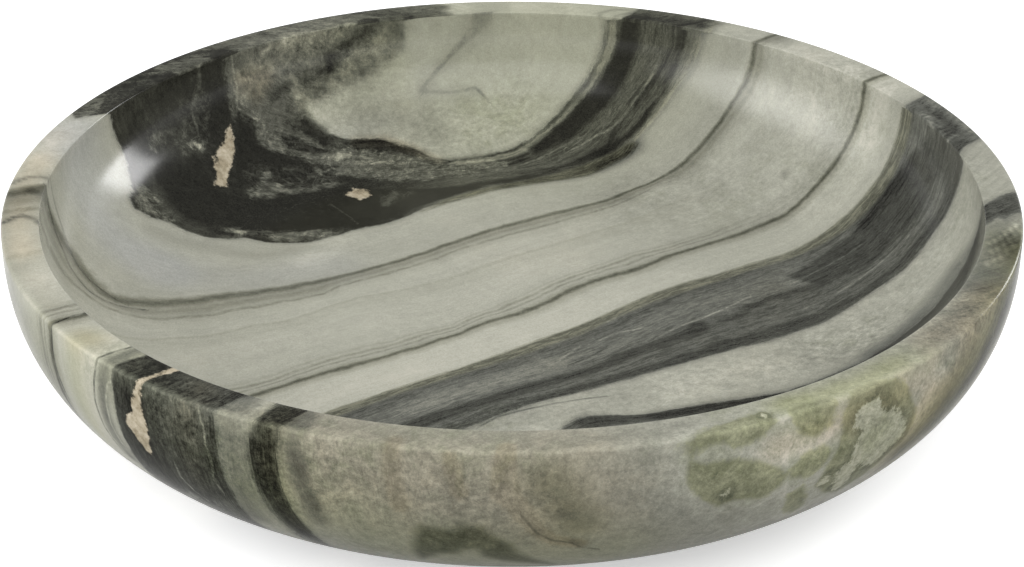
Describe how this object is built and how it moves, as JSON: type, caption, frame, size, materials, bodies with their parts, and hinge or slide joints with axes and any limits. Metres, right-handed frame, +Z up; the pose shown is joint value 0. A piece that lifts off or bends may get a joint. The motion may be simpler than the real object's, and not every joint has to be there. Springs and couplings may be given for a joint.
{
  "type": "round marble bowl",
  "caption": "Shallow round bowl turned from one block of banded marble, with a flat rim land, a full wall and a level basin, standing on small felt pads.",
  "frame": {"origin": "centre of the bounding box's bottom, on the plane of the pads' undersides, below the middle of the bowl", "axes": "+Z up along the axis the bowl was turned on; -Y towards the picture's camera; +X to the picture's right"},
  "size_m": [0.35, 0.35, 0.0703],
  "materials": {
    "marble": "polished, semi-gloss, grey-green and cream with black bands and thin dark veins",
    "felt": "pressed felt, matt"
  },
  "bodies": {
    "root": {"marble_bowl": "marble", "felt_pad_1": "felt", "felt_pad_2": "felt", "felt_pad_3": "felt", "felt_pad_4": "felt"}
  },
  "joints": []
}
